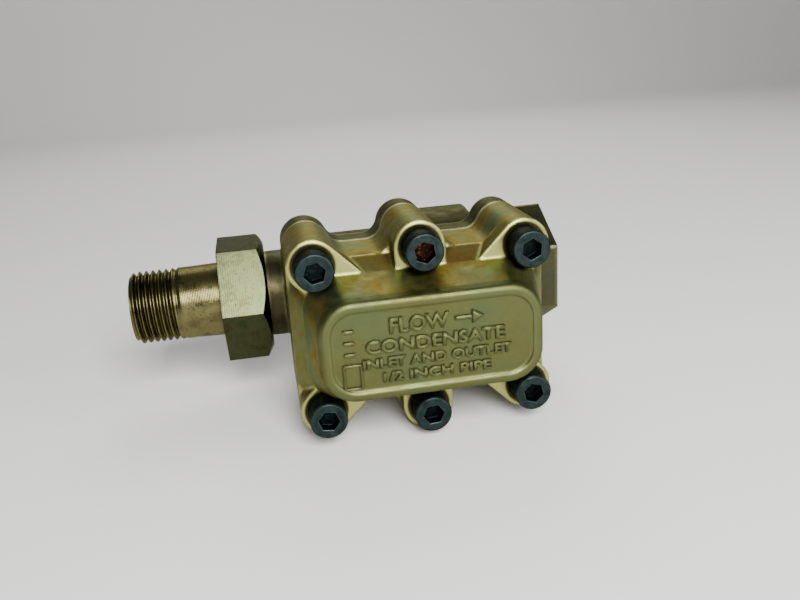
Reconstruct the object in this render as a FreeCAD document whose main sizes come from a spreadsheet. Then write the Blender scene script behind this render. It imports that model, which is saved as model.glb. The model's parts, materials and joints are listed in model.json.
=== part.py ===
"""Thermostatic steam trap with a bimetal stack, for 1/2 inch pipe.

A rear body casting carries the in-line pipe connections. A front cover casting
closes the chamber in which the strainer ends and the bimetal stack works. Six
socket cap screws hold the cover on. A union at the inlet joins the pipe line.

Frame: millimetres, origin at the centre of the outlet face, +X along the pipe
axis from inlet to outlet, -Y out of the cover, +Z up.
"""

import FreeCAD, Part
import math
import os
import re

import Sketcher
from FreeCAD import Placement, Rotation, Vector

doc = FreeCAD.newDocument("steam_trap")

# ---------------------------------------------------------------- dimensions
SIZES = {
    # castings: screw pattern and outline
    "pattern_back": 45.3,  # outlet face to the middle of the screw pattern
    "axis_rise": 1.0,  # pipe axis above the middle of the screw pattern
    "screw_half": 26.6,  # half the distance between the corner screws
    "corner_height": 19.2,  # corner screws above or below the pattern's middle
    "middle_height": 21.3,  # middle screws above or below the pattern's middle
    "lobe_radius": 6.5,
    "valley_fillet": 4.5,
    "face_depth": 19.2,  # pipe axis to the body's machined face
    "flange_thick": 7.4,
    "gasket_thick": 0.8,
    "gasket_inset": 0.6,
    # cover: heights are from its gasket face
    "rim_height": 16.0,
    "boss_height": 21.65,
    "plate_height": 33.5,
    "shoulder_inset": 3.0,  # the sloping shoulder at the height of the bosses
    "plate_half_length": 27.2,
    "plate_half_width": 12.4,
    "plate_corner": 8.5,
    "plate_edge": 1.2,
    "plate_rim": 2.2,
    "plate_field": 0.5,
    "boss_arm": 13.0,
    # chamber in the cover
    "front_wall": 4.0,
    "side_wall": 3.2,
    "mouth_half_length": 27.0,
    "mouth_half_width": 14.6,
    "mouth_corner": 7.0,
    "chamber_corner": 5.5,
    "chamber_widening": 1.0,
    # cap screws, 1/4 inch by 1 1/4 inch
    "screw_radius": 3.175,
    "screw_length": 31.75,
    "screw_head_radius": 4.76,
    "screw_head_height": 6.35,
    "screw_head_chamfer": 0.38,
    "screw_point": 0.8,
    "socket_flats": 4.76,
    "socket_deep": 3.2,
    "screw_clearance": 0.3,
    "spot_face_room": 0.6,
    "thread_fit": 0.02,
    # outlet end of the body
    "hex_flats": 32.0,
    "hex_length": 20.0,
    "pipe_radius": 10.67,  # outside radius of 1/2 inch pipe
    "port_clearance": 0.05,
    "port_depth": 16.0,
    "gallery_radius": 7.0,
    "seat_bore_overrun": 4.2,  # how far the seat's bore passes the pipe axis
    "seat_barrel_radius": 20.4,
    "seat_barrel_length": 16.0,
    "barrel_radius": 15.8,
    "barrel_chamfer": 3.5,
    # valve, measured along its axis from the body's face
    "valve_back": 33.3,  # outlet face to the valve's axis
    "seat_radius": 7.5,
    "seat_thread": 9.0,
    "seat_head_flats": 17.0,
    "seat_head": 4.0,
    "seat_bore": 3.0,
    "seat_collar_radius": 5.0,
    "seat_collar": 6.0,
    "seat_port_radius": 1.6,
    "stem_radius": 1.5,
    "ball_radius": 4.2,
    "valve_lift": 1.2,
    "washer_thick": 0.8,
    "leaf_thick": 0.7,
    "leaf_radius": 9.5,
    "leaf_arm": 7.0,
    "leaf_clearance": 0.3,
    "nut_flats": 8.0,
    "nut_thick": 3.5,
    "locknut_thick": 2.5,
    "stem_end": 1.4,
    # strainer, inlet side
    "strainer_back": 60.3,
    "pocket_radius": 9.5,
    "pocket_depth": 28.0,
    "screen_radius": 8.0,
    "screen_wall": 0.6,
    "screen_length": 22.0,
    "screen_hole": 1.0,
    "collar_radius": 10.4,
    "collar_thick": 1.2,
    "snap_thick": 0.8,
    "snap_groove": 0.8,
    "snap_gap": 5.0,
    "snap_face": 0.5,
    # union and inlet tailpiece
    "inlet_radius": 7.0,
    "neck_radius": 12.4,
    "spigot_radius": 13.0,
    "union_gap": 4.7,
    "union_pitch": 1.5,
    "union_thread_depth": 0.7,
    "union_wall": 3.0,  # nut wall at the middle of a flat, outside the spigot's radius
    "union_face_width": 2.04,  # nut face from the spigot's radius to its chamfer
    "union_length": 13.1,
    "union_lip": 3.0,
    "union_run": 0.05,
    "lip_clearance": 0.3,
    "tail_collar_room": 0.9,  # collar radius below the spigot's
    "tail_collar": 3.0,
    "union_gasket": 1.0,
    "tail_bore": 7.9,
    "tail_length": 31.0,
    "tail_thread": 15.0,
    "tail_thread_radius": 10.5,
    "tail_chamfer": 0.9,
}
LEAF_PAIRS = 5
SCREEN_ROWS = 5
SCREEN_COLUMNS = 8
# how far each screw's hexagon socket ended up turned, in degrees
SOCKET_TURNS = (12.0, 38.0, 24.0, 51.0, 5.0, 44.0)

sheet = doc.addObject("Spreadsheet::Sheet", "dims")
for row, (word, size) in enumerate(SIZES.items(), start=1):
    sheet.set(f"A{row}", word)
    sheet.set(f"B{row}", str(size))
    sheet.setAlias(f"B{row}", word)
doc.recompute()

# ------------------------------------------------- places worked out from them
PATTERN_X = "(-pattern_back)"
PATTERN_Z = "(-axis_rise)"
HALF_LENGTH = "(screw_half + lobe_radius)"
BODY_FACE = "(-face_depth)"
COVER_FACE = "(-face_depth - gasket_thick)"
BOSS_FACE = "(-face_depth - gasket_thick - boss_height)"
PLATE_FACE = "(-face_depth - gasket_thick - plate_height)"
CASTING_END = "(-pattern_back - screw_half - lobe_radius)"
UNION_FACE = "(-pattern_back - screw_half - lobe_radius - union_gap)"
UNION_END = f"({UNION_FACE} - union_length)"
COLLAR_BACK = f"({UNION_END} + union_lip)"
COLLAR_FRONT = f"({UNION_END} + union_lip + tail_collar)"
SPIGOT_END = f"({UNION_END} + union_lip + tail_collar + union_gasket)"
# along the valve, out of the body's face
SEAT_HEAD_TOP = "(gasket_thick + seat_head)"
SEAT_TOP = "(gasket_thick + seat_head + seat_collar)"
STACK_FOOT = "(gasket_thick + seat_head + seat_collar + washer_thick)"
STACK_TOP = f"({STACK_FOOT} + {2 * LEAF_PAIRS} * leaf_thick)"
NUT_FOOT = f"({STACK_TOP} + washer_thick)"
BALL_CENTRE = "(-seat_thread - sqrt(ball_radius ^ 2 - seat_bore ^ 2) - valve_lift)"

FORWARD = Rotation(Vector(1, 0, 0), 90)  # local Z points out of the cover
ALONG = Rotation(Vector(0, 1, 0), 90)  # local Z points along the pipe
OUTWARD = Rotation(Vector(0, 0, 1), -90)  # local X points out of the cover
SUBPARTS = []


def in_sheet(formula):
    """The formula with each size's word pointing at the spreadsheet."""
    return re.sub(
        r"[a-z_]+",
        lambda found: "dims." + found.group() if found.group() in SIZES else found.group(),
        str(formula),
    )


def value(formula):
    """The formula's value at present, in millimetres."""
    return float(sheet.evalExpression(in_sheet(formula)))


def bind(thing, **formulas):
    """Ties properties of a document object to formulas of the sizes."""
    for name, formula in formulas.items():
        thing.setExpression(name, in_sheet(formula))
    return thing


def place(thing, turn=None, x=None, y=None, z=None):
    """Turns an object and ties its position to formulas of the sizes."""
    if turn is not None:
        thing.Placement = Placement(Vector(0, 0, 0), turn)
    for axis, formula in (("x", x), ("y", y), ("z", z)):
        if formula is not None:
            thing.setExpression(f"Placement.Base.{axis}", in_sheet(formula))
    return thing


def subpart(thing, label):
    """Names an object as one piece of the assembly."""
    thing.Label = label
    SUBPARTS.append(thing)
    return thing


def box(name, length, width, height, turn=None, x="0", y="0", z="0"):
    block = doc.addObject("Part::Box", name)
    bind(block, Length=length, Width=width, Height=height)
    return place(block, turn, x, y, z)


def cylinder(name, radius, height, turn=FORWARD, x="0", y="0", z="0"):
    rod = doc.addObject("Part::Cylinder", name)
    bind(rod, Radius=radius, Height=height)
    return place(rod, turn, x, y, z)


def hexagon(name, flats, height, turn, x="0", y="0", z="0"):
    prism = doc.addObject("Part::Prism", name)
    prism.Polygon = 6
    bind(prism, Circumradius=f"{flats} / sqrt(3)", Height=height)
    return place(prism, turn, x, y, z)


def fuse(name, shapes):
    joined = doc.addObject("Part::MultiFuse", name)
    joined.Shapes = shapes
    joined.Refine = True
    return joined


def cut(name, base, tools):
    result = doc.addObject("Part::Cut", name)
    result.Base = base
    result.Tool = tools[0] if len(tools) == 1 else fuse(name + "_tools", tools)
    return result


def common(name, first, second):
    result = doc.addObject("Part::Common", name)
    result.Base = first
    result.Tool = second
    return result


def draw_profile(sketch, corners):
    """Closes a polygon through corners given as pairs of formulas."""
    points = [Vector(value(along), value(out), 0) for along, out in corners]
    for start, end in zip(points, points[1:] + points[:1]):
        sketch.addGeometry(Part.LineSegment(start, end), False)
    for index, (along, out) in enumerate(corners):
        following = (index + 1) % len(corners)
        sketch.addConstraint(Sketcher.Constraint("Coincident", index, 2, following, 1))
        for kind, formula, number in (
            ("DistanceX", along, points[index].x),
            ("DistanceY", out, points[index].y),
        ):
            made = sketch.addConstraint(Sketcher.Constraint(kind, index, 1, number))
            sketch.setExpression(f"Constraints[{made}]", in_sheet(formula))


def turned(name, corners, turn=None, x="0", y="0", z="0"):
    """A lathe-turned piece: corners are (along the axis, radius)."""
    body = doc.addObject("PartDesign::Body", name)
    sketch = body.newObject("Sketcher::SketchObject", name + "_profile")
    plane = next(f for f in body.Origin.OriginFeatures if f.Role == "XY_Plane")
    sketch.AttachmentSupport = (plane, "")
    sketch.MapMode = "FlatFace"
    draw_profile(sketch, corners)
    spin = body.newObject("PartDesign::Revolution", name + "_turning")
    spin.Profile = sketch
    spin.ReferenceAxis = (sketch, ["H_Axis"])
    spin.Angle = 360
    return place(body, turn, x, y, z)


def rounded_rectangle(name, half_x, half_z, corner, y):
    """A closed outline in an upright plane, centred on the screw pattern."""
    sketch = doc.addObject("Sketcher::SketchObject", name)
    place(sketch, FORWARD, PATTERN_X, y, PATTERN_Z)
    wide, high, bend = value(half_x), value(half_z), value(corner)
    centres = [(1, 1, 0), (-1, 1, 90), (-1, -1, 180), (1, -1, 270)]
    ends = []
    for side, level, start in centres:
        middle = Vector(side * (wide - bend), level * (high - bend), 0)
        circle = Part.Circle(middle, Vector(0, 0, 1), bend)
        first, last = math.radians(start), math.radians(start + 90)
        sketch.addGeometry(Part.ArcOfCircle(circle, first, last), False)
        ends.append((circle.value(first), circle.value(last)))
    for index in range(4):
        following = (index + 1) % 4
        sketch.addGeometry(Part.LineSegment(ends[index][1], ends[following][0]), False)
        sketch.addConstraint(Sketcher.Constraint("Tangent", index, 2, 4 + index, 1))
        sketch.addConstraint(Sketcher.Constraint("Tangent", 4 + index, 2, following, 1))
    for line in (4, 6):
        sketch.addConstraint(Sketcher.Constraint("Horizontal", line))
        sketch.addConstraint(Sketcher.Constraint("Vertical", line + 1))
    for arc in (1, 2, 3):
        sketch.addConstraint(Sketcher.Constraint("Equal", 0, arc))
    for kind, shape, point, number, formula in (
        ("Radius", 0, None, bend, corner),
        ("DistanceX", 0, 3, wide - bend, f"{half_x} - {corner}"),
        ("DistanceY", 0, 3, high - bend, f"{half_z} - {corner}"),
        ("DistanceX", 2, 3, bend - wide, f"{corner} - {half_x}"),
        ("DistanceY", 2, 3, bend - high, f"{corner} - {half_z}"),
    ):
        where = (shape, number) if point is None else (shape, point, number)
        made = sketch.addConstraint(Sketcher.Constraint(kind, *where))
        sketch.setExpression(f"Constraints[{made}]", in_sheet(formula))
    return sketch


def loft(name, sections):
    skin = doc.addObject("Part::Loft", name)
    skin.Sections = sections
    skin.Solid = True
    skin.Ruled = True
    return skin


def extrusion(name, outline, thick):
    """The solid between an outline and the same outline further forward."""
    prism = doc.addObject("Part::Extrusion", name)
    prism.Base = outline
    prism.DirMode = "Normal"
    prism.Solid = True
    return bind(prism, LengthFwd=thick)


def round_edges(name, base, radius, wanted):
    """Rounds the edges of base for which wanted(edge) is true."""
    doc.recompute()
    size = value(radius)
    rounded = doc.addObject("Part::Fillet", name)
    rounded.Base = base
    rounded.Edges = [
        (number, size, size) for number, edge in enumerate(base.Shape.Edges, 1) if wanted(edge)
    ]
    if not rounded.Edges:
        raise RuntimeError(f"{name} finds no edge to round")
    return rounded


def screw_places():
    """Each cap screw's (x, z) as formulas, from left to right, top then bottom."""
    places = []
    for level in ("", "-"):
        for side, height in (("-", "corner_height"), ("0 *", "middle_height"), ("", "corner_height")):
            places.append((f"-pattern_back + {side} screw_half", f"-axis_rise + {level} {height}"))
    return places


def lobed_plate(name, thick, back, inset):
    """The six-lobed outline that body, gasket and cover share."""
    slab = box(
        name + "_slab",
        f"2 * ({HALF_LENGTH} - {inset})",
        thick,
        f"2 * (corner_height - {inset})",
        x=f"{PATTERN_X} - {HALF_LENGTH} + {inset}",
        y=f"{back} - {thick}",
        z=f"{PATTERN_Z} - corner_height + {inset}",
    )
    lobes = [
        cylinder(f"{name}_lobe_{n}", f"lobe_radius - {inset}", thick, x=x, y=back, z=z)
        for n, (x, z) in enumerate(screw_places(), start=1)
    ]
    blank = fuse(name + "_blank", [slab] + lobes)
    waist = value(f"corner_height - {inset}")
    reach = value(f"screw_half - {inset}")
    middle = Vector(value(PATTERN_X), 0, value(PATTERN_Z))

    def in_valley(edge):
        way = edge.Vertexes[-1].Point - edge.Vertexes[0].Point
        spot = edge.CenterOfMass - middle
        upright = abs(abs(way.y) - way.Length) < 1e-6 and way.Length > 1e-6
        return upright and abs(abs(spot.z) - waist) < 1e-3 and abs(spot.x) < reach

    return round_edges(name + "_outline", blank, "valley_fillet", in_valley)


def screw_holes(name, radius, start, length):
    """Six round tools along Y, reaching forward from start."""
    return [
        cylinder(f"{name}_{n}", radius, length, x=x, y=start, z=z)
        for n, (x, z) in enumerate(screw_places(), start=1)
    ]


def make_body():
    """Rear casting: flange, barrel, outlet hexagon, inlet spigot and their bores."""
    flange = lobed_plate("body_flange", "flange_thick", "(flange_thick - face_depth)", "0")
    hex_end = hexagon("body_hexagon", "hex_flats", "hex_length", ALONG, x="-hex_length")
    taper = "(-hex_length - barrel_chamfer)"
    crest = f"({taper} - seat_barrel_length)"
    fall = f"({crest} - barrel_chamfer)"
    corners = [
        (SPIGOT_END, "0"),
        (SPIGOT_END, "spigot_radius - union_thread_depth"),
    ]
    turns = int((value(UNION_FACE) - value(SPIGOT_END)) / value("union_pitch"))
    for turn in range(turns):
        groove = f"({SPIGOT_END} + {turn} * union_pitch)"
        corners += [
            (f"{groove} + 0.40 * union_pitch", "spigot_radius"),
            (f"{groove} + 0.60 * union_pitch", "spigot_radius"),
            (f"{groove} + union_pitch", "spigot_radius - union_thread_depth"),
        ]
    corners += [
        (f"{CASTING_END} - 0.5 * union_gap", "neck_radius"),
        (CASTING_END, "neck_radius"),
        (f"{CASTING_END} + barrel_chamfer", "barrel_radius"),
        (fall, "barrel_radius"),
        (crest, "seat_barrel_radius"),
        (taper, "seat_barrel_radius"),
        ("-hex_length", "hex_flats / 2"),
        ("-hex_length + barrel_chamfer", "hex_flats / 2"),
        ("-hex_length + barrel_chamfer", "0"),
    ]
    barrel = turned("body_barrel", corners)
    casting = fuse("body_casting", [flange, hex_end, barrel])
    front_side = box(
        "body_front_side",
        "2 * pattern_back",
        "face_depth",
        "4 * middle_height",
        x="-2 * pattern_back",
        y="-2 * face_depth",
        z="-2 * middle_height",
    )
    bores = [
        front_side,
        cylinder(
            "body_outlet_port", "pipe_radius + port_clearance", "port_depth", ALONG, x="-port_depth"
        ),
        cylinder(
            "body_outlet_gallery",
            "gallery_radius",
            "valve_back",
            ALONG,
            x="-valve_back",
        ),
        cylinder(
            "body_seat_bore",
            "seat_radius + thread_fit",
            "face_depth + seat_bore_overrun",
            x="-valve_back",
            y="seat_bore_overrun",
        ),
        cylinder(
            "body_inlet_bore",
            "inlet_radius",
            f"-strainer_back - ({SPIGOT_END})",
            ALONG,
            x=SPIGOT_END,
        ),
        cylinder(
            "body_pocket", "pocket_radius", "pocket_depth", x="-strainer_back", y="pocket_depth - face_depth"
        ),
        cylinder(
            "body_collar_recess",
            "collar_radius + screw_clearance",
            "collar_thick + snap_thick + snap_face",
            x="-strainer_back",
            y="collar_thick + snap_thick + snap_face - face_depth",
        ),
        cylinder(
            "body_snap_groove",
            "collar_radius + snap_groove + screw_clearance",
            "snap_thick",
            x="-strainer_back",
            y="snap_thick + snap_face - face_depth",
        ),
    ]
    bores += screw_holes(
        "body_tapping",
        "screw_radius + thread_fit",
        "screw_length - boss_height - gasket_thick - face_depth",
        "screw_length - boss_height - gasket_thick",
    )
    return subpart(cut("body_machined", casting, bores), "body")


def make_cover():
    """Front casting: lobed rim, screw bosses, sloping shoulder and name plate."""
    rim = lobed_plate("cover_rim", "rim_height", COVER_FACE, "0")
    rim_top = f"({COVER_FACE} - rim_height)"
    rise = "(boss_height - rim_height)"
    bosses = []
    for n, (x, z) in enumerate(screw_places()):
        bosses.append(cylinder(f"cover_boss_{n + 1}", "lobe_radius", "boss_height", x=x, y=COVER_FACE, z=z))
        level = 1 if n < 3 else -1
        side = (-1, 0, 1)[n % 3]
        # an arm with straight walls runs from each boss towards the middle
        turn = Rotation(Vector(0, 1, 0), level * (90 + 45 * side))
        away = turn.multVec(Vector(0, 0, 1))
        arm = box(
            f"cover_arm_{n + 1}",
            "boss_arm",
            rise,
            "2 * lobe_radius",
            turn,
            x=f"({x}) - ({away.x:.6f}) * lobe_radius",
            y=BOSS_FACE,
            z=f"({z}) - ({away.z:.6f}) * lobe_radius",
        )
        bosses.append(arm)
    block = loft(
        "cover_block",
        [
            rounded_rectangle("cover_foot", HALF_LENGTH, "corner_height", "plate_corner", rim_top),
            rounded_rectangle(
                "cover_shoulder",
                f"({HALF_LENGTH} - shoulder_inset)",
                "(corner_height - shoulder_inset)",
                "plate_corner",
                BOSS_FACE,
            ),
            rounded_rectangle(
                "cover_plate", "plate_half_length", "plate_half_width", "plate_corner", PLATE_FACE
            ),
        ],
    )
    plate_depth = value(PLATE_FACE)

    def round_plate(edge):
        return abs(edge.BoundBox.YMin - plate_depth) < 1e-3 and edge.BoundBox.YLength < 1e-3

    casting = round_edges(
        "cover_casting", fuse("cover_blank", [rim, block] + bosses), "plate_edge", round_plate
    )
    field = extrusion(
        "cover_field",
        rounded_rectangle(
            "cover_field_outline",
            "(plate_half_length - plate_rim)",
            "(plate_half_width - plate_rim)",
            "(plate_corner - plate_rim)",
            f"({PLATE_FACE} + plate_field)",
        ),
        "2 * plate_field",
    )
    chamber = loft(
        "cover_chamber",
        [
            rounded_rectangle(
                "chamber_mouth", "mouth_half_length", "mouth_half_width", "mouth_corner", COVER_FACE
            ),
            rounded_rectangle(
                "chamber_end",
                "(plate_half_length - side_wall + chamber_widening)",
                "(plate_half_width - side_wall + chamber_widening)",
                "chamber_corner",
                f"({PLATE_FACE} + front_wall)",
            ),
        ],
    )
    holes = screw_holes("cover_hole", "screw_radius + screw_clearance", COVER_FACE, "boss_height")
    spot_faces = screw_holes(
        "cover_spot_face", "screw_head_radius + spot_face_room", BOSS_FACE, "screw_head_height"
    )
    return subpart(cut("cover_machined", casting, [chamber, field] + holes + spot_faces), "cover")


def make_gasket():
    """Flat sheet gasket, cut back a little from the castings' outline."""
    sheet_blank = lobed_plate("gasket_sheet", "gasket_thick", BODY_FACE, "gasket_inset")
    window = rounded_rectangle(
        "gasket_window", "mouth_half_length", "mouth_half_width", "mouth_corner", BODY_FACE
    )
    mouth = extrusion("gasket_mouth", window, "gasket_thick")
    holes = screw_holes("gasket_hole", "screw_radius + screw_clearance", BODY_FACE, "gasket_thick")
    return subpart(cut("gasket_cut", sheet_blank, [mouth] + holes), "cover_gasket")


def make_cap_screws():
    """Six socket head cap screws, heads on the bosses."""
    for n, (x, z) in enumerate(screw_places(), start=1):
        blank = turned(
            f"screw_blank_{n}",
            [
                ("-screw_length", "0"),
                ("-screw_length", "screw_radius - screw_point"),
                ("-screw_length + screw_point", "screw_radius"),
                ("0", "screw_radius"),
                ("0", "screw_head_radius"),
                ("screw_head_height - screw_head_chamfer", "screw_head_radius"),
                ("screw_head_height", "screw_head_radius - screw_head_chamfer"),
                ("screw_head_height", "0"),
            ],
            OUTWARD,
            x,
            BOSS_FACE,
            z,
        )
        socket = hexagon(
            f"screw_socket_{n}",
            "socket_flats",
            "socket_deep",
            FORWARD * Rotation(Vector(0, 0, 1), SOCKET_TURNS[n - 1]),
            x,
            f"{BOSS_FACE} - screw_head_height + socket_deep",
            z,
        )
        subpart(cut(f"screw_{n}", blank, [socket]), f"cap_screw_{n}")


def make_valve():
    """Seat screwed into the body, stem and ball, and the nuts that set the stack."""
    at_valve = dict(turn=OUTWARD, x="-valve_back", y=BODY_FACE)
    seat_blank = turned(
        "seat_blank",
        [
            ("-seat_thread", "seat_bore"),
            ("-seat_thread", "seat_radius"),
            ("gasket_thick", "seat_radius"),
            ("gasket_thick", "seat_head_flats / sqrt(3)"),
            (SEAT_HEAD_TOP, "seat_head_flats / sqrt(3)"),
            (SEAT_HEAD_TOP, "seat_collar_radius"),
            (SEAT_TOP, "seat_collar_radius"),
            (SEAT_TOP, "seat_bore"),
        ],
        **at_valve,
    )
    wrench = hexagon(
        "seat_wrench",
        "seat_head_flats",
        f"seat_thread + {SEAT_TOP}",
        FORWARD,
        x="-valve_back",
        y=f"{BODY_FACE} + seat_thread",
    )
    ports = [
        cylinder(
            f"seat_port_{n}",
            "seat_port_radius",
            "4 * seat_collar_radius",
            turn,
            x=f"-valve_back - {across} * 2 * seat_collar_radius",
            y=f"{BODY_FACE} - {SEAT_TOP} + seat_collar / 2",
            z=f"-{up} * 2 * seat_collar_radius",
        )
        for n, (turn, across, up) in enumerate(((ALONG, 1, 0), (Rotation(), 0, 1)), start=1)
    ]
    subpart(cut("seat_drilled", common("seat_hexed", seat_blank, wrench), ports), "valve_seat")
    washers = (
        ("seat_gasket", "0", "gasket_thick", "seat_radius", "seat_head_flats / 2"),
        ("stack_foot_washer", SEAT_TOP, STACK_FOOT, "stem_radius + leaf_clearance", "seat_collar_radius"),
        ("stack_top_washer", STACK_TOP, NUT_FOOT, "stem_radius", "seat_collar_radius"),
    )
    for label, back, front, inner, outer in washers:
        ring = [(back, inner), (front, inner), (front, outer), (back, outer)]
        subpart(turned(label, ring, **at_valve), label)
    stem_tip = f"({NUT_FOOT} + nut_thick + locknut_thick + stem_end)"
    stem = [
        (BALL_CENTRE, "0"),
        (BALL_CENTRE, "stem_radius"),
        (f"{stem_tip} - 0.3 * stem_radius", "stem_radius"),
        (stem_tip, "0.7 * stem_radius"),
        (stem_tip, "0"),
    ]
    subpart(turned("stem_turned", stem, **at_valve), "valve_stem")
    ball = doc.addObject("Part::Sphere", "ball_blank")
    bind(ball, Radius="ball_radius")
    place(ball, None, "-valve_back", f"{BODY_FACE} - {BALL_CENTRE}", "0")
    stem_hole = cylinder(
        "ball_hole", "stem_radius", "2 * ball_radius", x="-valve_back", y=f"{BODY_FACE} - {BALL_CENTRE}"
    )
    subpart(cut("ball_bored", ball, [stem_hole]), "valve_ball")
    for label, foot, thick in (
        ("adjusting_nut", NUT_FOOT, "nut_thick"),
        ("lock_nut", f"({NUT_FOOT} + nut_thick)", "locknut_thick"),
    ):
        where = dict(x="-valve_back", y=f"{BODY_FACE} - {foot}")
        blank = hexagon(label + "_blank", "nut_flats", thick, FORWARD, **where)
        bore = cylinder(label + "_bore", "stem_radius", thick, **where)
        subpart(cut(label + "_bored", blank, [bore]), label)


def make_leaves():
    """The bimetal stack: four-armed leaves in pairs, every second pair turned."""
    for index in range(2 * LEAF_PAIRS):
        pair, half = divmod(index, 2)
        foot = f"({BODY_FACE} - {STACK_FOOT} - {index} * leaf_thick)"
        lean = 45 * (pair % 2)
        name = f"leaf_{pair + 1}_{'ab'[half]}"
        arms = []
        for n in (0, 1):
            turn = FORWARD * Rotation(Vector(0, 0, 1), lean + 90 * n)
            corner = turn.multVec(Vector(1, 0, 0))
            side = turn.multVec(Vector(0, 1, 0))
            arms.append(
                box(
                    f"{name}_arm_{n}",
                    "2 * leaf_radius",
                    "leaf_arm",
                    "leaf_thick",
                    turn,
                    x=f"-valve_back - ({corner.x:.6f}) * leaf_radius - ({side.x:.6f}) * leaf_arm / 2",
                    y=foot,
                    z=f"-({corner.z:.6f}) * leaf_radius - ({side.z:.6f}) * leaf_arm / 2",
                )
            )
        disc = cylinder(f"{name}_disc", "leaf_radius", "leaf_thick", x="-valve_back", y=foot)
        hole = cylinder(
            f"{name}_hole", "stem_radius + leaf_clearance", "leaf_thick", x="-valve_back", y=foot
        )
        blank = common(f"{name}_blank", fuse(f"{name}_cross", arms), disc)
        subpart(cut(name, blank, [hole]), f"bimetal_{name}")


def make_strainer():
    """Cup-shaped screen in the inlet pocket, its collar and its snap ring."""
    at_strainer = dict(turn=OUTWARD, x="-strainer_back", y=BODY_FACE)
    collar_back = "(-collar_thick - snap_thick - snap_face)"
    cup_end = f"({collar_back} - screen_length)"
    cup = turned(
        "screen_cup",
        [
            (cup_end, "0"),
            (cup_end, "screen_radius"),
            (collar_back, "screen_radius"),
            (collar_back, "screen_radius - screen_wall"),
            (f"{cup_end} + screen_wall", "screen_radius - screen_wall"),
            (f"{cup_end} + screen_wall", "0"),
        ],
        **at_strainer,
    )
    holes = []
    for row in range(SCREEN_ROWS):
        for column in range(SCREEN_COLUMNS // 2):
            turn = Rotation(Vector(0, 1, 0), 360 / SCREEN_COLUMNS * (column + 0.5 * (row % 2)))
            way = turn.multVec(Vector(0, 0, 1))
            share = (row + 0.5) / SCREEN_ROWS
            holes.append(
                cylinder(
                    f"screen_hole_{row}_{column}",
                    "screen_hole",
                    "4 * screen_radius",
                    turn,
                    x=f"-strainer_back - ({way.x:.6f}) * 2 * screen_radius",
                    y=f"{BODY_FACE} - {collar_back} + {share:.3f} * screen_length",
                    z=f"-({way.z:.6f}) * 2 * screen_radius",
                )
            )
    subpart(cut("screen_pierced", cup, holes), "strainer_screen")
    collar = [
        (collar_back, "screen_radius - screen_wall"),
        ("-snap_thick - snap_face", "screen_radius - screen_wall"),
        ("-snap_thick - snap_face", "collar_radius"),
        (collar_back, "collar_radius"),
    ]
    subpart(turned("collar_turned", collar, **at_strainer), "strainer_collar")
    ring = [
        ("-snap_thick - snap_face", "collar_radius - 2 * snap_groove"),
        ("-snap_face", "collar_radius - 2 * snap_groove"),
        ("-snap_face", "collar_radius + snap_groove"),
        ("-snap_thick - snap_face", "collar_radius + snap_groove"),
    ]
    opening = box(
        "snap_opening",
        "snap_gap",
        "4 * snap_thick",
        "2 * collar_radius",
        x="-strainer_back - snap_gap / 2",
        y=f"{BODY_FACE} - snap_thick",
    )
    subpart(cut("snap_split", turned("snap_turned", ring, **at_strainer), [opening]), "strainer_snap_ring")


def make_union():
    """Union nut, inlet tailpiece with its pipe thread, and the gasket between."""
    flats = "(2 * (spigot_radius + union_wall))"
    corner_radius = f"({flats} / sqrt(3))"
    face_radius = "(spigot_radius + union_face_width)"
    slope = f"({corner_radius} - {face_radius}) * tan(30)"
    blank = turned(
        "union_blank",
        [
            (UNION_END, "pipe_radius + lip_clearance"),
            (COLLAR_BACK, "pipe_radius + lip_clearance"),
            (COLLAR_BACK, "spigot_radius + union_run"),
            (UNION_FACE, "spigot_radius + union_run"),
            (UNION_FACE, face_radius),
            (f"{UNION_FACE} - {slope}", corner_radius),
            (UNION_END, corner_radius),
        ],
    )
    hexed = hexagon(
        "union_hexagon",
        flats,
        "union_length",
        Rotation(Vector(1, 0, 0), 90) * ALONG,
        x=UNION_END,
    )
    subpart(common("union_hexed", blank, hexed), "union_nut")
    tail_end = f"({UNION_END} + union_lip - tail_length + tail_collar)"
    collar_radius = "(spigot_radius - tail_collar_room)"
    tailpiece = [
        (tail_end, "tail_bore"),
        (COLLAR_FRONT, "tail_bore"),
        (COLLAR_FRONT, collar_radius),
        (COLLAR_BACK, collar_radius),
        (COLLAR_BACK, "pipe_radius"),
        (f"{tail_end} + tail_thread", "pipe_radius"),
        (f"{tail_end} + tail_thread", "tail_thread_radius"),
        (f"{tail_end} + tail_chamfer", "tail_thread_radius"),
        (tail_end, "tail_thread_radius - tail_chamfer"),
    ]
    subpart(turned("tailpiece_turned", tailpiece), "union_tailpiece")
    gasket = [
        (COLLAR_FRONT, "tail_bore"),
        (SPIGOT_END, "tail_bore"),
        (SPIGOT_END, collar_radius),
        (COLLAR_FRONT, collar_radius),
    ]
    subpart(turned("union_ring", gasket), "union_gasket")


def check_model():
    """Stops before anything is written if a feature failed or a shape is bad."""
    for thing in doc.Objects:
        if {"Invalid", "Error"} & set(thing.State):
            raise RuntimeError(f"{thing.Label} did not recompute")
    for thing in SUBPARTS:
        if thing.Shape.isNull() or not thing.Shape.isValid() or not thing.Shape.Solids:
            raise RuntimeError(f"{thing.Label} has no valid solid")


make_body()
make_cover()
make_gasket()
make_cap_screws()
make_valve()
make_leaves()
make_strainer()
make_union()
doc.recompute()
check_model()
os.makedirs("parts", exist_ok=True)
for piece in SUBPARTS:
    piece.Shape.exportStep(f"parts/{piece.Label}.step")
    shape = piece.Shape
    print(f"{piece.Label}: {len(shape.Solids)} solid, {shape.Volume:.1f} mm3")
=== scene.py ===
"""Looks of a bimetal steam trap: plated forgings, turned union parts, black cap screws.

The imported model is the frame. The pieces made here are the two taper pipe threads and
the raised marks on the cover's plate. Lengths are metres; names ending in _mm are in
millimetres.
"""

import json
import math

import bmesh
import bpy
from mathutils import Matrix, Vector


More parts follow.
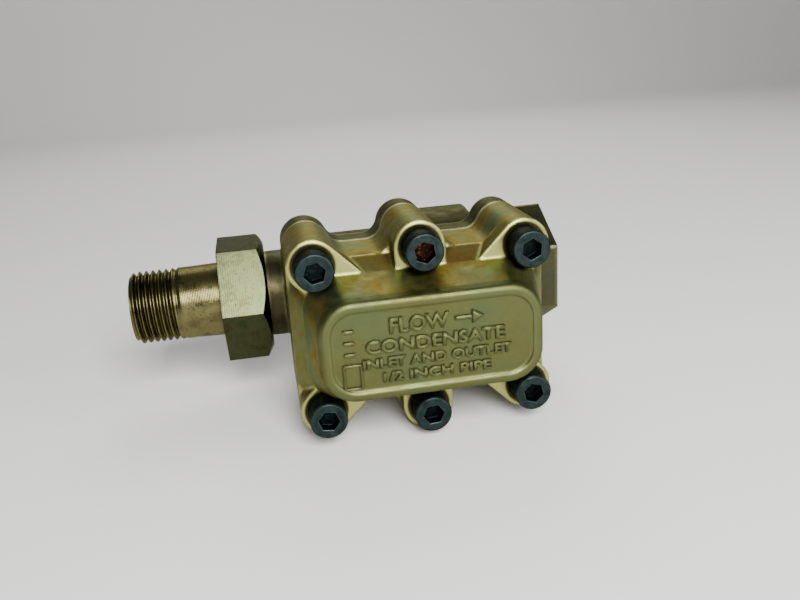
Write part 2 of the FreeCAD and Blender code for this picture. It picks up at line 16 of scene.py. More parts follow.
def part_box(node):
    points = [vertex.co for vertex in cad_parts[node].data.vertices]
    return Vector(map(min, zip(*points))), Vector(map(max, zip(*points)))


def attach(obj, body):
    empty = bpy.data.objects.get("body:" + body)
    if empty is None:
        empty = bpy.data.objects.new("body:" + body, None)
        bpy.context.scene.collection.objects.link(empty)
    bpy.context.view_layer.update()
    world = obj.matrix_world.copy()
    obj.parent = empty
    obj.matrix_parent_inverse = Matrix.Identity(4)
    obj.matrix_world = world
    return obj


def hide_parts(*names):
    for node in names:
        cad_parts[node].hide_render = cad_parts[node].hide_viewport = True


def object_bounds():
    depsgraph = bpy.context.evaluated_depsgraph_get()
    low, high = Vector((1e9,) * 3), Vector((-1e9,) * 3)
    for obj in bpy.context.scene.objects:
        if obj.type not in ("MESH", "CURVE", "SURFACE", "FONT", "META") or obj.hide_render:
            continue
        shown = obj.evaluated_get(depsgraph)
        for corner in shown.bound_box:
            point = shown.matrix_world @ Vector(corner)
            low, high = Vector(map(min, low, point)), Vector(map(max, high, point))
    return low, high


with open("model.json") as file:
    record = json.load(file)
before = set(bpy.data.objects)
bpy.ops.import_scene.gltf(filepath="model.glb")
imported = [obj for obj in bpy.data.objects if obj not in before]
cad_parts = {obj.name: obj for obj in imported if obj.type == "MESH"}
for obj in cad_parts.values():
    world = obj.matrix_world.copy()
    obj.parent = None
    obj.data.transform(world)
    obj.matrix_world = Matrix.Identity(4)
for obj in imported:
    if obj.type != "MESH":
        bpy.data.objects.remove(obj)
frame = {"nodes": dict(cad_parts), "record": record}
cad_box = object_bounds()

MM = 0.001

# 1/2 inch taper pipe thread, 14 turns to the inch.
PIPE_PITCH = 25.4 * MM / 14
PIPE_RADIUS = 10.67 * MM
THREAD_DEPTH = 1.25 * MM
THREAD_STEPS = 72
TAPER = 1 / 32

# Tailpiece: the thread fades out on the shank, which ends in a collar.
TAIL_BORE = 7.9 * MM
COLLAR_WIDTH = 3.0 * MM
TAIL_THREAD = 15.0 * MM
FADE_LENGTH = 3.5 * MM
LEAD_CHAMFER = 1.2 * MM

# Outlet: how far in its thread starts and ends, and its room inside the bore.
OUTLET_THREAD_START = 0.6 * MM
OUTLET_THREAD_END = 15.5 * MM
SLEEVE_ROOM = 0.03 * MM

# 1/4 inch socket head cap screw. The socket is 4.76 mm across its flats, so 2.75 mm from
# the axis to its corners.
HEAD_HEIGHT = 6.35 * MM
SOCKET_REACH = 2.85 * MM
# The socket's painted shade and rust lie 0.13 mm to 6.37 mm behind the face, so just past the head's back.
TONES_MIDDLE = 3.25 * MM
TONES_HALF = 3.12 * MM

# Cover plate: how far back its rim goes, how deep its field is sunk, and how far the
# raised marks stay below the rim.
PLATE_RIM = 2.5 * MM
FIELD_DEPTH = 0.5 * MM
MARK_SHY = 0.02 * MM


# ------------------------------------------------- measures taken from the model
def middle(node):
    """The middle of a CAD node's box."""
    return sum((Vector(corner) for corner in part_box(node)), Vector()) / 2


COVER_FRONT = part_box("cover")[0][1]
COVER_MIDDLE = middle("cover")
HEAD_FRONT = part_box("cap_screw_1")[0][1]
BOSS_FACE = HEAD_FRONT + HEAD_HEIGHT
# Each screw's place from the cover's middle: four near the corners, two between them.
SCREWS = {node: middle(node) - COVER_MIDDLE for node in frame["nodes"] if node.startswith("cap_screw")}
CORNER_SCREW = max(SCREWS.values(), key=lambda gap: gap.x)
TOP_SCREW = min(SCREWS, key=lambda node: abs(SCREWS[node].x) - SCREWS[node].z)


# ------------------------------------------------------------------ small tools
def tint(code):
    """An sRGB hex colour as linear RGBA."""
    channels = [int(code[i : i + 2], 16) / 255 for i in (1, 3, 5)]
    return [c / 12.92 if c <= 0.04045 else ((c + 0.055) / 1.055) ** 2.4 for c in channels] + [1.0]


def per(size_mm):
    """Texture scale at which one feature is size_mm across."""
    return 1.0 / (size_mm * MM)


def add(tree, kind, sockets=None, stops=None, **settings):
    """Adds a node; sockets maps an input to a number, a colour or the output it follows."""
    node = tree.nodes.new("ShaderNode" + kind)
    for name, setting in settings.items():
        setattr(node, name, setting)
    for place, source in (sockets or {}).items():
        if isinstance(source, bpy.types.NodeSocket):
            tree.links.new(source, node.inputs[place])
        else:
            node.inputs[place].default_value = source
    if stops:
        marks = node.color_ramp.elements
        while len(marks) < len(stops):
            marks.new(0.5)
        for mark, (position, colour) in zip(marks, stops):
            mark.position = position
            mark.color = tint(colour) if isinstance(colour, str) else (colour, colour, colour, 1)
    return node


def new_material(name, roughness, metallic=1.0):
    """A material with a Principled shader; returns it, its tree and the shader."""
    material = bpy.data.materials.new(name)
    material.use_nodes = True
    tree = material.node_tree
    tree.nodes.clear()
    shader = add(tree, "BsdfPrincipled", {"Roughness": roughness, "Metallic": metallic})
    add(tree, "OutputMaterial", {"Surface": shader.outputs["BSDF"]})
    return material, tree, shader


def from_screws(tree, where):
    """Distance from the nearest cap screw's axis.

    The six are even about the cover's middle, so one corner screw and one middle screw
    stand for all of them.
    """
    place = add(tree, "SeparateXYZ", {"Vector": where}).outputs
    flat = add(tree, "CombineXYZ", {"X": place["X"], "Z": place["Z"]}).outputs["Vector"]
    centre = (COVER_MIDDLE.x, 0, COVER_MIDDLE.z)
    shifted = add(tree, "VectorMath", {0: flat, 1: centre}, operation="SUBTRACT").outputs["Vector"]
    folded = add(tree, "VectorMath", {0: shifted}, operation="ABSOLUTE").outputs["Vector"]
    gaps = [
        add(tree, "VectorMath", {0: folded, 1: spot}, operation="DISTANCE").outputs["Value"]
        for spot in ((CORNER_SCREW.x, 0, abs(CORNER_SCREW.z)), (0, 0, SCREWS[TOP_SCREW].z))
    ]
    return add(tree, "Math", {0: gaps[0], 1: gaps[1]}, operation="MINIMUM").outputs["Value"]


# -------------------------------------------------------------------- materials
def forged_plating(name, tones, painted_shade, pale_gold_and_highlight, boss_plane=None, plate_plane=None):
    """Forged steel under yellow chromate zinc.

    The chromate film dries unevenly, so olive gold drifts to green and pink, and it tints
    the sheen at a low angle. The forged skin is pebbled and dull. Edges are paler, partly
    rubbed and partly a painted highlight that is strongest on upward edges. Corners,
    creases and a ring round each screw head are darkened with painted shade. Faces milled
    after forging are smoother and pale gold.
    """
    material, tree, shader = new_material(name, 0.42)
    shader.inputs["Specular Tint"].default_value = tint("#D2D3C2")
    spot = add(tree, "TexCoord").outputs
    where = spot["Object"]
    drift = add(tree, "TexNoise", {"Vector": where, "Scale": per(12.0), "Detail": 4.0, "Roughness": 0.6})
    film = add(tree, "ValToRGB", {"Fac": drift.outputs["Fac"]}, stops=tones)
    fleck = add(tree, "TexNoise", {"Vector": where, "Scale": per(1.8), "Detail": 6.0, "Roughness": 0.7})
    mottle = add(tree, "ValToRGB", {"Fac": fleck.outputs["Fac"]}, stops=[(0.32, 0.78), (0.66, 1.0)])
    colour = add(
        tree,
        "Mix",
        {"Factor": 1.0, "A": film.outputs["Color"], "B": mottle.outputs["Color"]},
        data_type="RGBA",
        blend_type="MULTIPLY",
    ).outputs["Result"]

    # Paler edges, partly rubbing and partly a painted highlight: where a rounded normal parts from the true
    # one, least on undersides, so upward edges look lit from above.
    rounded = add(tree, "Bevel", {"Radius": 1.5 * MM}, samples=8).outputs["Normal"]
    true_face = add(tree, "NewGeometry").outputs["True Normal"]
    agree = add(tree, "VectorMath", {0: rounded, 1: true_face}, operation="DOT_PRODUCT").outputs["Value"]
    rubbed_and_lit_edge = add(tree, "MapRange", {"Value": agree, "From Min": 0.995, "From Max": 0.98, "To Max": 0.85})
    tilt = add(tree, "SeparateXYZ", {"Vector": rounded}).outputs["Z"]
    reach = add(tree, "MapRange", {"Value": tilt, "From Min": -0.5, "From Max": 0.1, "To Min": 0.2})
    polish_and_highlight = add(
        tree, "Math", {0: rubbed_and_lit_edge.outputs["Result"], 1: reach.outputs["Result"]}, operation="MULTIPLY"
    ).outputs["Value"]
    colour = add(
        tree, "Mix", {"Factor": polish_and_highlight, "A": colour, "B": tint(pale_gold_and_highlight)}, data_type="RGBA"
    ).outputs["Result"]

    place = add(tree, "SeparateXYZ", {"Vector": where}).outputs
    if plate_plane is not None:
        # The plate was cast in a finer pattern: greyer, drier and evenly grained.
        on_plate = add(tree, "Math", {0: place["Y"], 1: plate_plane}, operation="LESS_THAN").outputs["Value"]
        soft = add(tree, "Math", {0: on_plate, 1: 0.75}, operation="MULTIPLY").outputs["Value"]
        colour = add(
            tree,
            "Mix",
            {"Factor": soft, "A": colour, "B": tint("#4E5637")},
            data_type="RGBA",
        ).outputs["Result"]
    if boss_plane is not None:
        # Milled bosses carry pale gold plating and fine cutter marks.
        near = add(tree, "Math", {0: place["Y"], 1: boss_plane, 2: 0.15 * MM}, operation="COMPARE")
        faces = add(tree, "SeparateXYZ", {"Vector": true_face}).outputs["Y"]
        flat = add(tree, "Math", {0: faces, 1: -0.95}, operation="LESS_THAN")
        milled = add(
            tree, "Math", {0: near.outputs["Value"], 1: flat.outputs["Value"]}, operation="MULTIPLY"
        ).outputs["Value"]
        colour = add(
            tree, "Mix", {"Factor": milled, "A": colour, "B": tint(pale_gold_and_highlight)}, data_type="RGBA"
        ).outputs["Result"]
        polish_and_highlight = add(tree, "Math", {0: polish_and_highlight, 1: milled}, operation="MAXIMUM").outputs["Value"]
        # Painted shadow: a dark ring on the boss faces round each of the six heads.
        ring = add(
            tree,
            "MapRange",
            {"Value": from_screws(tree, where), "From Min": 5.9 * MM, "From Max": 5.4 * MM, "To Max": 0.92},
        ).outputs["Result"]
        head_shadow = add(tree, "Math", {0: ring, 1: near.outputs["Value"]}, operation="MULTIPLY").outputs["Value"]
        colour = add(
            tree, "Mix", {"Factor": head_shadow, "A": colour, "B": tint(painted_shade)}, data_type="RGBA"
        ).outputs["Result"]

    # Painted shade: ambient occlusion darkens corners and recesses.
    occlusion = add(tree, "AmbientOcclusion", {"Distance": 4.0 * MM}, samples=8)
    painted_crevice_shade = add(tree, "ValToRGB", {"Fac": occlusion.outputs["AO"]}, stops=[(0.12, 0.8), (0.5, 0.0)])
    colour = add(
        tree,
        "Mix",
        {"Factor": painted_crevice_shade.outputs["Color"], "A": colour, "B": tint(painted_shade)},
        data_type="RGBA",
    ).outputs["Result"]
    # Painted shade: a short ambient occlusion draws dark lines in fine creases, round the raised marks and
    # along the plate's step.
    fine_occlusion = add(tree, "AmbientOcclusion", {"Distance": 0.8 * MM}, samples=8)
    painted_line_shade = add(tree, "ValToRGB", {"Fac": fine_occlusion.outputs["AO"]}, stops=[(0.45, 0.55), (0.88, 0.0)])
    colour = add(
        tree,
        "Mix",
        {"Factor": painted_line_shade.outputs["Color"], "A": colour, "B": tint(painted_shade)},
        data_type="RGBA",
    ).outputs["Result"]
    tree.links.new(colour, shader.inputs["Base Color"])

    dry = add(tree, "TexNoise", {"Vector": where, "Scale": per(3.0), "Detail": 4.0})
    dull = add(
        tree,
        "MapRange",
        {"Value": dry.outputs["Fac"], "From Min": 0.3, "From Max": 0.7, "To Min": 0.4, "To Max": 0.58},
    ).outputs["Result"]
    smooth = add(tree, "Math", {0: polish_and_highlight, 1: 0.12}, operation="MULTIPLY").outputs["Value"]
    rough = add(tree, "Math", {0: dull, 1: smooth}, operation="SUBTRACT").outputs["Value"]
    tree.links.new(rough, shader.inputs["Roughness"])
    grain = add(tree, "TexNoise", {"Vector": where, "Scale": per(0.9), "Detail": 4.0, "Roughness": 0.6})
    pebbles = add(
        tree,
        "Bump",
        {"Height": grain.outputs["Fac"], "Strength": 0.35, "Distance": 0.09 * MM, "Normal": rounded},
    )
    swell = add(tree, "TexNoise", {"Vector": where, "Scale": per(7.0), "Detail": 2.0})
    waves = add(
        tree,
        "Bump",
        {
            "Height": swell.outputs["Fac"],
            "Strength": 0.5,
            "Distance": 0.35 * MM,
            "Normal": pebbles.outputs["Normal"],
        },
    )
    tree.links.new(waves.outputs["Normal"], shader.inputs["Normal"])
    return material


def machined_plating(name, tones, specks_and_shade, pitch_mm, depth_mm, rough):
    """Turned or milled steel under zinc chromate.

    The tool leaves fine rings round the pipe axis, which break a highlight into threads
    of light; small dark specks sit where the film is thin. The film greys the sheen at a
    low angle. Grooves and crevices are darkened with painted shade in the specks' tone.
    """
    material, tree, shader = new_material(name, rough)
    shader.inputs["Specular Tint"].default_value = tint("#C6C6BC")
    where = add(tree, "TexCoord").outputs["Object"]
    drift = add(tree, "TexNoise", {"Vector": where, "Scale": per(6.0), "Detail": 5.0, "Roughness": 0.65})
    film = add(tree, "ValToRGB", {"Fac": drift.outputs["Fac"]}, stops=tones)
    fine = add(tree, "TexNoise", {"Vector": where, "Scale": per(0.9), "Detail": 3.0})
    spots = add(tree, "ValToRGB", {"Fac": fine.outputs["Fac"]}, stops=[(0.62, 0.0), (0.72, 0.6)])
    colour = add(
        tree,
        "Mix",
        {"Factor": spots.outputs["Color"], "A": film.outputs["Color"], "B": tint(specks_and_shade)},
        data_type="RGBA",
    ).outputs["Result"]
    # Painted shade: ambient occlusion darkens the thread grooves and other crevices.
    occlusion = add(tree, "AmbientOcclusion", {"Distance": 1.6 * MM}, samples=8)
    painted_crevice_shade = add(tree, "ValToRGB", {"Fac": occlusion.outputs["AO"]}, stops=[(0.25, 0.65), (0.8, 0.0)])
    colour = add(
        tree,
        "Mix",
        {"Factor": painted_crevice_shade.outputs["Color"], "A": colour, "B": tint(specks_and_shade)},
        data_type="RGBA",
    ).outputs["Result"]
    tree.links.new(colour, shader.inputs["Base Color"])
    rings = add(
        tree,
        "TexWave",
        # A wave repeats 20 / (2 pi) times as often as its scale says.
        {"Vector": where, "Scale": per(pitch_mm) * math.tau / 20, "Distortion": 1.2, "Detail": 2.0},
        wave_type="BANDS",
        bands_direction="X",
    )
    rounded = add(tree, "Bevel", {"Radius": 0.35 * MM}, samples=6).outputs["Normal"]
    cuts = add(
        tree,
        "Bump",
        {"Height": rings.outputs["Fac"], "Strength": 0.5, "Distance": depth_mm * MM, "Normal": rounded},
    )
    pits = add(
        tree,
        "Bump",
        {
            "Height": drift.outputs["Fac"],
            "Strength": 0.35,
            "Distance": 0.12 * MM,
            "Normal": cuts.outputs["Normal"],
        },
    )
    tree.links.new(pits.outputs["Normal"], shader.inputs["Normal"])
    wear = add(
        tree,
        "MapRange",
        {
            "Value": drift.outputs["Fac"],
            "From Min": 0.3,
            "From Max": 0.7,
            "To Min": rough - 0.06,
            "To Max": rough + 0.1,
        },
    )
    tree.links.new(wear.outputs["Result"], shader.inputs["Roughness"])
    return material


def black_oxide(name, socket):
    """Heat-treated screw steel under oiled black oxide.

    Blue-black and half glossy; the rims are paler, partly from rubbing and partly a painted
    highlight. The oiled film swallows light at a low angle, so the heads' sides stay dark.
    The hexagon socket is painted dark as shade, with a teal painted glint, and rust starts
    there, where water stands. socket lists the tones painted there.
    """
    material, tree, shader = new_material(name, 0.36, 0.85)
    shader.inputs["Specular Tint"].default_value = tint("#4A5052")
    where = add(tree, "TexCoord").outputs["Object"]
    film = add(tree, "TexNoise", {"Vector": where, "Scale": per(2.0), "Detail": 4.0})
    skin = add(
        tree, "ValToRGB", {"Fac": film.outputs["Fac"]}, stops=[(0.3, "#1A2322"), (0.7, "#2E3A39")]
    )
    rounded = add(tree, "Bevel", {"Radius": 0.45 * MM}, samples=6).outputs["Normal"]
    true_face = add(tree, "NewGeometry").outputs["True Normal"]
    agree = add(tree, "VectorMath", {0: rounded, 1: true_face}, operation="DOT_PRODUCT").outputs["Value"]
    # Painted highlight, partly rim wear: the head's rounded rims are made paler.
    rim_wear_and_highlight = add(tree, "MapRange", {"Value": agree, "From Min": 0.97, "From Max": 0.8, "To Max": 0.6})
    colour = add(
        tree,
        "Mix",
        {"Factor": rim_wear_and_highlight.outputs["Result"], "A": skin.outputs["Color"], "B": tint("#5A6B6B")},
        data_type="RGBA",
    ).outputs["Result"]
    # Painted shade: the socket, near the axis and within the head just behind its face, is painted dark,
    # with a painted teal glint on the plain screws and rust on the rusty one.
    inside = add(tree, "Math", {0: from_screws(tree, where), 1: SOCKET_REACH}, operation="LESS_THAN")
    depth = add(tree, "SeparateXYZ", {"Vector": where}).outputs["Y"]
    within = {0: depth, 1: HEAD_FRONT + TONES_MIDDLE, 2: TONES_HALF}
    below = add(tree, "Math", within, operation="COMPARE")
    sunk = add(
        tree, "Math", {0: inside.outputs["Value"], 1: below.outputs["Value"]}, operation="MULTIPLY"
    ).outputs["Value"]
    flake = add(tree, "TexNoise", {"Vector": where, "Scale": per(0.8), "Detail": 5.0, "Roughness": 0.7})
    socket_shade_and_rust = add(tree, "ValToRGB", {"Fac": flake.outputs["Fac"]}, stops=socket)
    colour = add(
        tree,
        "Mix",
        {"Factor": sunk, "A": colour, "B": socket_shade_and_rust.outputs["Color"]},
        data_type="RGBA",
    ).outputs["Result"]
    tree.links.new(colour, shader.inputs["Base Color"])
    rough = add(
        tree,
        "MapRange",
        {"Value": film.outputs["Fac"], "From Min": 0.3, "From Max": 0.7, "To Min": 0.28, "To Max": 0.5},
    )
    tree.links.new(rough.outputs["Result"], shader.inputs["Roughness"])
    bump = add(
        tree,
        "Bump",
        {"Height": flake.outputs["Fac"], "Strength": 0.35, "Distance": 0.05 * MM, "Normal": rounded},
    )
    tree.links.new(bump.outputs["Normal"], shader.inputs["Normal"])
    return material


def inner_stock(name, tones, rough, metallic=1.0, grain_mm=0.6):
    """Ground, rolled or pressed stock: an even tone with a fine grain."""
    material, tree, shader = new_material(name, rough, metallic)
    where = add(tree, "TexCoord").outputs["Object"]
    film = add(tree, "TexNoise", {"Vector": where, "Scale": per(2.5), "Detail": 4.0})
    skin = add(tree, "ValToRGB", {"Fac": film.outputs["Fac"]}, stops=tones)
    tree.links.new(skin.outputs["Color"], shader.inputs["Base Color"])
    grain = add(tree, "TexNoise", {"Vector": where, "Scale": per(grain_mm), "Detail": 2.0})
    bump = add(tree, "Bump", {"Height": grain.outputs["Fac"], "Strength": 0.3, "Distance": 0.02 * MM})
    tree.links.new(bump.outputs["Normal"], shader.inputs["Normal"])
    return material


finishes = {
    "body_plating": forged_plating(
        "chromated_forging_body",
        [(0.3, "#3F4535"), (0.5, "#474530"), (0.72, "#403424")],
        "#110E08",
        "#7F7E5A",
    ),
    "cover_plating": forged_plating(
        "chromated_forging_cover",
        [(0.32, "#5F6E4F"), (0.48, "#767444"), (0.62, "#7B6C34"), (0.76, "#735132")],
        "#14110A",
        "#A5A465",
        boss_plane=BOSS_FACE,
        plate_plane=COVER_FRONT + PLATE_RIM,
    ),
    "nut_plating": machined_plating(
        "chromated_milled_nut",
        [(0.3, "#2F331F"), (0.5, "#3F432C"), (0.7, "#373421")],
        "#221C10",
        0.6,
        0.012,
        0.2,
    ),
    "tailpiece_plating": machined_plating(
        "chromated_turned_steel",
        [(0.3, "#4B452B"), (0.5, "#6F6A45"), (0.7, "#5D5236")],
        "#241A10",
        0.45,
        0.03,
        0.3,
    ),
    # Plain screws: the socket is painted near black as shade, with a teal painted glint.
    "black_oxide_steel": black_oxide("black_oxide_screw", [(0.4, "#0A0E0E"), (0.7, "#1C2829")]),
    "graphite_sheet": inner_stock("graphite_sheet", [(0.3, "#15140F"), (0.7, "#23211A")], 0.8, 0.0),
    "soft_steel": inner_stock("annealed_steel", [(0.3, "#8D8F90"), (0.7, "#A5A7A8")], 0.4),
    "stainless_steel": inner_stock("ground_stainless", [(0.3, "#A2A19C"), (0.7, "#BAB9B3")], 0.3),
    "stainless_mesh": inner_stock("perforated_stainless", [(0.3, "#96958F"), (0.7, "#ADACA6")], 0.35),
    "spring_steel": inner_stock("phosphated_spring_steel", [(0.3, "#2F3133"), (0.7, "#414446")], 0.5),
    "bimetal_strip": inner_stock("rolled_bimetal", [(0.3, "#94897A"), (0.7, "#ACA292")], 0.35),
}
for row in frame["record"]["subparts"]:
    mesh = frame["nodes"][row["node"]].data
    mesh.materials.clear()
    mesh.materials.append(finishes[row["material_slot"]])

# The screw in the middle of the top row is the rusty one: rust over painted shade in its socket.
rusty = black_oxide("rusty_cap_screw", [(0.42, "#0A0807"), (0.56, "#2A180E"), (0.7, "#8A4A20")])
frame["nodes"][TOP_SCREW].data.materials[0] = rusty


# --------------------------------------------------------- pieces and threads
def new_piece(name, shape, finish, body, smooth_angle=35.0):
    """Turns a bmesh into an object with outward faces that rides on a body."""
    bmesh.ops.remove_doubles(shape, verts=shape.verts, dist=0.002 * MM)
    bmesh.ops.recalc_face_normals(shape, faces=shape.faces)
    mesh = bpy.data.meshes.new(name)
    shape.to_mesh(mesh)
    shape.free()
    for face in mesh.polygons:
        face.use_smooth = True
    mesh.set_sharp_from_angle(angle=math.radians(smooth_angle))
    piece = bpy.data.objects.new(name, mesh)
    bpy.context.collection.objects.link(piece)
    mesh.materials.append(finishes[finish])
    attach(piece, body)
    return piece


def set_radius(vertex, radius):
    """Moves a vertex straight out from or in to the pipe axis."""
    scale = radius / math.hypot(vertex.co.y, vertex.co.z)
    vertex.co.y *= scale
    vertex.co.z *= scale


def helix(start, end, crest, root):
    """A thread surface round the X axis, cut square at start and end."""
    shape = bmesh.new()
    first = start - PIPE_PITCH
    turns = math.ceil((end - first) / PIPE_PITCH) + 1
    chain = [
        shape.verts.new((first + share * PIPE_PITCH, 0, radius))
        for share, radius in ((0, root), (0.06, root), (0.44, crest), (0.56, crest), (0.94, root), (1, root))
    ]
    edges = [shape.edges.new(pair) for pair in zip(chain, chain[1:])]
    bmesh.ops.spin(
        shape,
        geom=chain + edges,
        cent=(0, 0, 0),
        axis=(1, 0, 0),
        dvec=(PIPE_PITCH / THREAD_STEPS, 0, 0),
        angle=math.tau * turns,
        steps=THREAD_STEPS * turns,
        use_duplicate=False,
    )
    bmesh.ops.remove_doubles(shape, verts=shape.verts, dist=0.004 * MM)
    for place, side in ((start, -1), (end, 1)):
        bmesh.ops.bisect_plane(
            shape,
            geom=shape.verts[:] + shape.edges[:] + shape.faces[:],
            plane_co=(place, 0, 0),
            plane_no=(side, 0, 0),
            clear_outer=True,
        )
    return shape


def rim(shape, place):
    """The open edges that lie at one place along X."""
    return [
        edge
        for edge in shape.edges
        if edge.is_boundary and all(abs(v.co.x - place) < 0.01 * MM for v in edge.verts)
    ]


def carry_on(shape, edges, place, radius):
    """Extrudes an open ring of edges to a new place and radius; returns the new ring."""
    grown = bmesh.ops.extrude_edge_only(shape, edges=edges)["geom"]
    for vertex in (part for part in grown if isinstance(part, bmesh.types.BMVert)):
        vertex.co.x = place
        set_radius(vertex, radius)
    return [part for part in grown if isinstance(part, bmesh.types.BMEdge)]


def threaded_tailpiece():
    """Inlet tailpiece: taper thread that runs out on a plain shank, collar and bore."""
    low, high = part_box("union_tailpiece")
    start, front = low[0], high[0]
    collar_radius = high[2]
    run_out = start + TAIL_THREAD
    end = run_out + 1.0 * MM
    shape = helix(start, end, PIPE_RADIUS, PIPE_RADIUS - THREAD_DEPTH)
    for vertex in shape.verts:
        x = vertex.co.x
        radius = math.hypot(vertex.co.y, vertex.co.z)
        # The last turns get shallower, and the crests follow the pipe's taper.
        left = min(1.0, max(0.0, (run_out - x) / FADE_LENGTH))
        radius = PIPE_RADIUS - (PIPE_RADIUS - radius) * left - max(0.0, run_out - x) * TAPER * 0.75
        # A lead chamfer takes the first crest down.
        lead = max(0.0, start + LEAD_CHAMFER - x)
        set_radius(vertex, min(radius, PIPE_RADIUS - 0.35 * MM - lead * 0.8))
    inlet = carry_on(shape, rim(shape, start), start, TAIL_BORE)
    ring = rim(shape, end)
    for place, radius in (
        (front - COLLAR_WIDTH, PIPE_RADIUS),
        (front - COLLAR_WIDTH, collar_radius),
        (front, collar_radius),
        (front, TAIL_BORE),
    ):
        ring = carry_on(shape, ring, place, radius)
    bmesh.ops.bridge_loops(shape, edges=inlet + ring)
    piece = new_piece("threaded_tailpiece", shape, "tailpiece_plating", "tailpiece")
    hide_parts("union_tailpiece")


def outlet_thread():
    """The female taper thread, as a thin sleeve inside the outlet bore."""
    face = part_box("body")[1][0]
    start, end = face - OUTLET_THREAD_END, face - OUTLET_THREAD_START
    wall = PIPE_RADIUS + SLEEVE_ROOM
    shape = helix(start, end, PIPE_RADIUS - THREAD_DEPTH, PIPE_RADIUS - 0.15 * MM)
    for vertex in shape.verts:
        radius = math.hypot(vertex.co.y, vertex.co.z)
        set_radius(vertex, radius - (end - vertex.co.x) * TAPER * 0.7)
    inner = rim(shape, start)
    ring = carry_on(shape, rim(shape, end), end, wall)
    ring = carry_on(shape, ring, start, wall)
    bmesh.ops.bridge_loops(shape, edges=inner + ring)
    new_piece("outlet_pipe_thread", shape, "body_plating", "root")


# -------------------------------------------------------- raised marks of the plate
MARK_FOOT = COVER_FRONT + FIELD_DEPTH
MARK_TOP = COVER_FRONT + MARK_SHY


def raise_mark(name, shape):
    """Gives a flat shape, drawn in X and Z on the plate, its height above the field."""
    for vertex in shape.verts:
        vertex.co.y = MARK_TOP
    walls = bmesh.ops.extrude_face_region(shape, geom=shape.faces[:])["geom"]
    for part in walls:
        if isinstance(part, bmesh.types.BMVert):
            part.co.y = MARK_FOOT
    new_piece(name, shape, "cover_plating", "root", 30.0)


def raised_words(name, words, height_mm, width_mm, x_mm, z_mm):
    """Cast lettering: soft-edged capitals set to a height and a line width."""
    letters = bpy.data.curves.new(name, "FONT")
    letters.body = words
    letters.size = 1.0
    letters.offset = 0.006
    letters.extrude = 0.05
    letters.bevel_depth = 0.03
    letters.bevel_resolution = 1
    letters.resolution_u = 4
    holder = bpy.data.objects.new(name, letters)
    bpy.context.collection.objects.link(holder)
    bpy.context.view_layer.update()
    graph = bpy.context.evaluated_depsgraph_get()
    drawn = bpy.data.meshes.new_from_object(holder.evaluated_get(graph))
    bpy.data.objects.remove(holder)
    bpy.data.curves.remove(letters)
    shape = bmesh.new()
    shape.from_mesh(drawn)
    bpy.data.meshes.remove(drawn)
    reach = [[f(v.co[axis] for v in shape.verts) for f in (min, max)] for axis in range(3)]
    (x0, x1), (y0, y1), (z0, z1) = reach
    for vertex in shape.verts:
        across = (vertex.co.x - x0) / (x1 - x0) - 0.5
        up = (vertex.co.y - y0) / (y1 - y0) - 0.5
        out = (vertex.co.z - z0) / (z1 - z0)
        vertex.co = (
            COVER_MIDDLE.x + (x_mm + across * width_mm) * MM,
            MARK_FOOT + (MARK_TOP - MARK_FOOT) * out,
            COVER_MIDDLE.z + (z_mm + up * height_mm) * MM,
        )
    new_piece(name, shape, "cover_plating", "root", 50.0)


def block(shape, x_mm, z_mm, width_mm, height_mm):
    """Adds a flat rectangle, centred at a place on the plate."""
    made = bmesh.ops.create_grid(shape, x_segments=1, y_segments=1, size=0.5)["verts"]
    bmesh.ops.rotate(shape, verts=made, cent=(0, 0, 0), matrix=Matrix.Rotation(math.pi / 2, 3, "X"))
    bmesh.ops.scale(shape, verts=made, vec=(width_mm * MM, 1, height_mm * MM))
    place = (COVER_MIDDLE.x + x_mm * MM, 0, COVER_MIDDLE.z + z_mm * MM)
    bmesh.ops.translate(shape, verts=made, vec=place)


def plate_marks():
    """Four rows of generic words, a flow arrow, short tally bars and an empty frame."""
    # Words, letter height, row width, then the row's middle across and up.
    rows = (
        ("FLOW", 4.1, 14.6, -3.4, 5.9),
        ("CONDENSATE", 3.5, 34.4, 0.5, 1.0),
        ("INLET AND OUTLET", 2.7, 37.0, 0.8, -3.2),
        ("1/2 INCH PIPE", 2.6, 27.0, 0.5, -7.0),
    )
    for n, (words, height_mm, width_mm, x_mm, z_mm) in enumerate(rows, start=1):
        raised_words(f"raised_words_row_{n}", words, height_mm, width_mm, x_mm, z_mm)
    shaft = bmesh.new()
    block(shaft, 7.4, 5.9, 4.2, 0.9)
    raise_mark("raised_arrow_shaft", shaft)
    head = bmesh.new()
    tip = bmesh.ops.create_circle(head, cap_ends=True, segments=3, radius=2.0 * MM)["verts"]
    bmesh.ops.rotate(head, verts=tip, cent=(0, 0, 0), matrix=Matrix.Rotation(-math.pi / 2, 3, "Z"))
    bmesh.ops.rotate(head, verts=tip, cent=(0, 0, 0), matrix=Matrix.Rotation(math.pi / 2, 3, "X"))
    bmesh.ops.translate(head, verts=tip, vec=(COVER_MIDDLE.x + 10.6 * MM, 0, COVER_MIDDLE.z + 5.9 * MM))
    raise_mark("raised_arrow_head", head)
    for n, z_mm in enumerate((5.6, 2.7, -0.2), start=1):
        bar = bmesh.new()
        block(bar, -20.6, z_mm, 2.6, 0.7)
        raise_mark(f"raised_bar_{n}", bar)
    border = bmesh.new()
    block(border, -20.2, -6.0, 4.6, 6.4)
    sides = bmesh.ops.inset_region(
        border, faces=border.faces[:], thickness=0.65 * MM, use_boundary=True
    )["faces"]
    opening = [face for face in border.faces if face not in sides]
    bmesh.ops.delete(border, geom=opening, context="FACES_ONLY")
    raise_mark("raised_empty_frame", border)


threaded_tailpiece()
outlet_thread()
plate_marks()


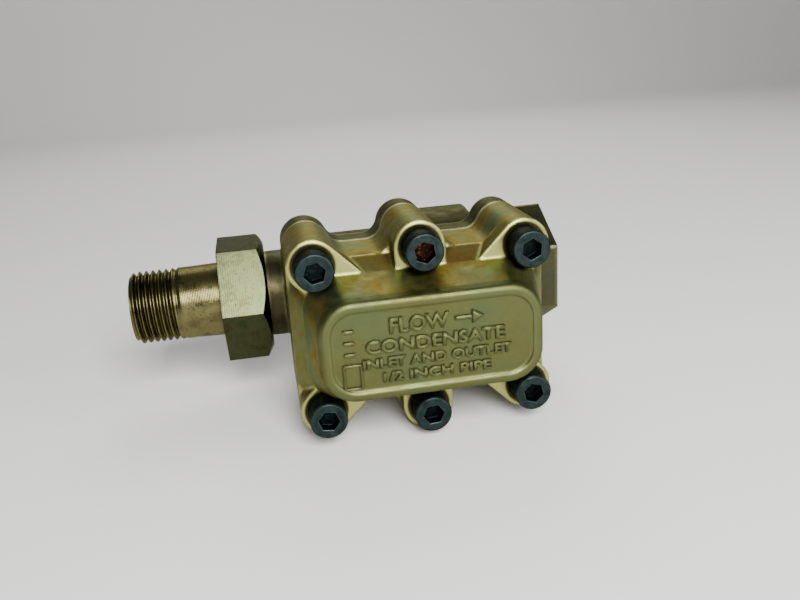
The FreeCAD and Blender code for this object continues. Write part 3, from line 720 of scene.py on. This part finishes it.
# ------------------------------------------------------------- camera and studio
def place_camera():
    """A camera at the front left, a little above the cover."""
    view = bpy.data.cameras.new("view")
    view.sensor_width = 36.0
    view.lens = 36.65
    camera = bpy.data.objects.new("view", view)
    bpy.context.collection.objects.link(camera)
    forward = Vector((0.1545, 0.9358, -0.3170)).normalized()
    right = forward.cross(Vector((0.1164, 0.3013, 0.9464))).normalized()
    turn = Matrix((right, right.cross(forward), -forward)).transposed().to_4x4()
    camera.matrix_world = Matrix.Translation((-0.08244, -0.2315, 0.07148)) @ turn
    bpy.context.scene.camera = camera


def push(shape, line, travel):
    """Extrudes a line of edges; returns the new line."""
    grown = bmesh.ops.extrude_edge_only(shape, edges=line)["geom"]
    moved = [part for part in grown if isinstance(part, bmesh.types.BMVert)]
    bmesh.ops.translate(shape, verts=moved, vec=travel)
    return [part for part in grown if isinstance(part, bmesh.types.BMEdge)]


def lay_sweep(level):
    """White paper under the trap, carried up behind it in one bend."""
    half_width, front, back, bend, rise = 2.5, -2.5, 0.75, 0.25, 0.60
    shape = bmesh.new()
    ends = [shape.verts.new((x, front, level)) for x in (-half_width, half_width)]
    line = push(shape, [shape.edges.new(ends)], (0, back - front, 0))
    spun = bmesh.ops.spin(
        shape,
        geom=[v for edge in line for v in edge.verts] + line,
        cent=(0, back, level + bend),
        axis=(1, 0, 0),
        angle=math.pi / 2,
        steps=12,
        use_duplicate=False,
    )["geom_last"]
    push(shape, [part for part in spun if isinstance(part, bmesh.types.BMEdge)], (0, 0, rise))
    bmesh.ops.remove_doubles(shape, verts=shape.verts, dist=0.1 * MM)
    mesh = bpy.data.meshes.new("sweep")
    shape.to_mesh(mesh)
    shape.free()
    for face in mesh.polygons:
        face.use_smooth = True
    floor = bpy.data.objects.new("sweep", mesh)
    bpy.context.collection.objects.link(floor)
    paper, _, shader = new_material("white_paper_sweep", 0.9, 0.0)
    shader.inputs["Base Color"].default_value = tint("#F4F3F0")
    mesh.materials.append(paper)


def hang_lamps(centre):
    """A soft key above the front, a weak fill from the right and a lamp behind, in a dim room."""
    # Name, place from the trap's middle, width and power in watts.
    lamps = (
        ("key", (0.06, -0.55, 0.36), 0.34, 9.0),
        ("fill", (0.60, -0.45, 0.25), 0.35, 2.0),
        ("back", (0.10, 0.60, 0.56), 0.40, 2.5),
    )
    for name, offset, size, power in lamps:
        light = bpy.data.lights.new(name, "AREA")
        light.size = size
        light.energy = power
        lamp = bpy.data.objects.new(name, light)
        lamp.location = centre + Vector(offset)
        lamp.rotation_euler = (centre - lamp.location).to_track_quat("-Z", "Y").to_euler()
        bpy.context.collection.objects.link(lamp)
    room = bpy.data.worlds.new("studio")
    room.use_nodes = True
    background = room.node_tree.nodes["Background"].inputs
    background["Color"].default_value = tint("#E8E8E6")
    background["Strength"].default_value = 0.14
    bpy.context.scene.world = room


place_camera()
lay_sweep(cad_box[0][2])
hang_lamps((Vector(cad_box[0]) + Vector(cad_box[1])) / 2)
